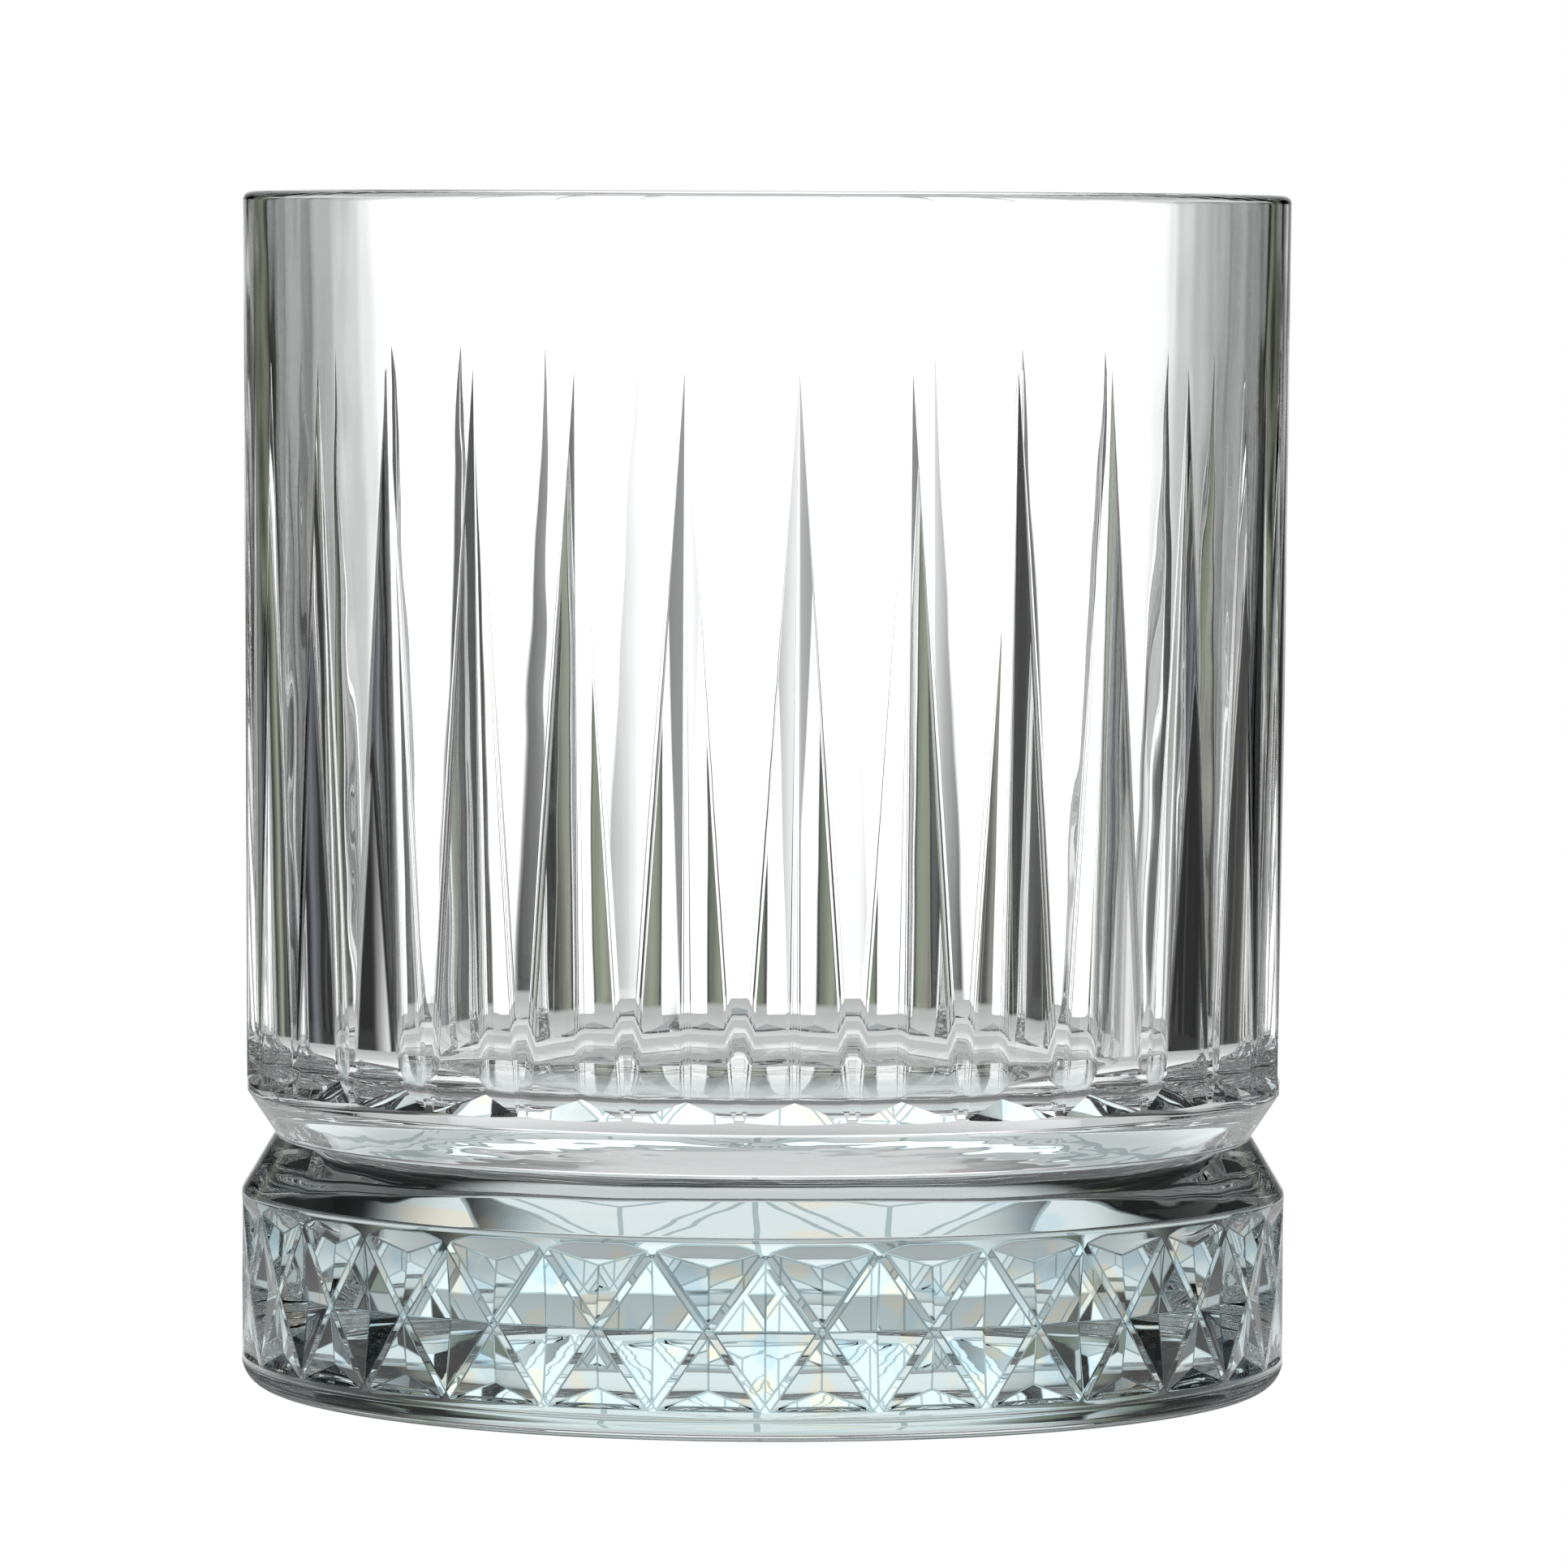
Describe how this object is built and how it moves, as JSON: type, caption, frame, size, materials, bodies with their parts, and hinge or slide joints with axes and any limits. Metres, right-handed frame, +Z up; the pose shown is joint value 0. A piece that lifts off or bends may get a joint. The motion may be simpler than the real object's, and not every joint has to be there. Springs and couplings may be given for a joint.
{
  "type": "whiskey tumbler",
  "caption": "Straight-sided pressed-glass whiskey tumbler with tapering V flutes, a pinched waist and a heavy heel faceted in diamonds.",
  "frame": {"origin": "centre of the resting ring, on the surface that the tumbler stands on", "axes": "+Z up along the tumbler's axis of revolution, -Y towards the viewer of the front view, +X to that viewer's right"},
  "size_m": [0.0842, 0.0842, 0.096],
  "materials": {
    "clear_glass": "fire-polished clear soda-lime glass",
    "heel_glass": "clear soda-lime glass, pale blue-green where it is thick"
  },
  "bodies": {
    "root": {"bowl": "clear_glass", "foot": "heel_glass"}
  },
  "joints": []
}
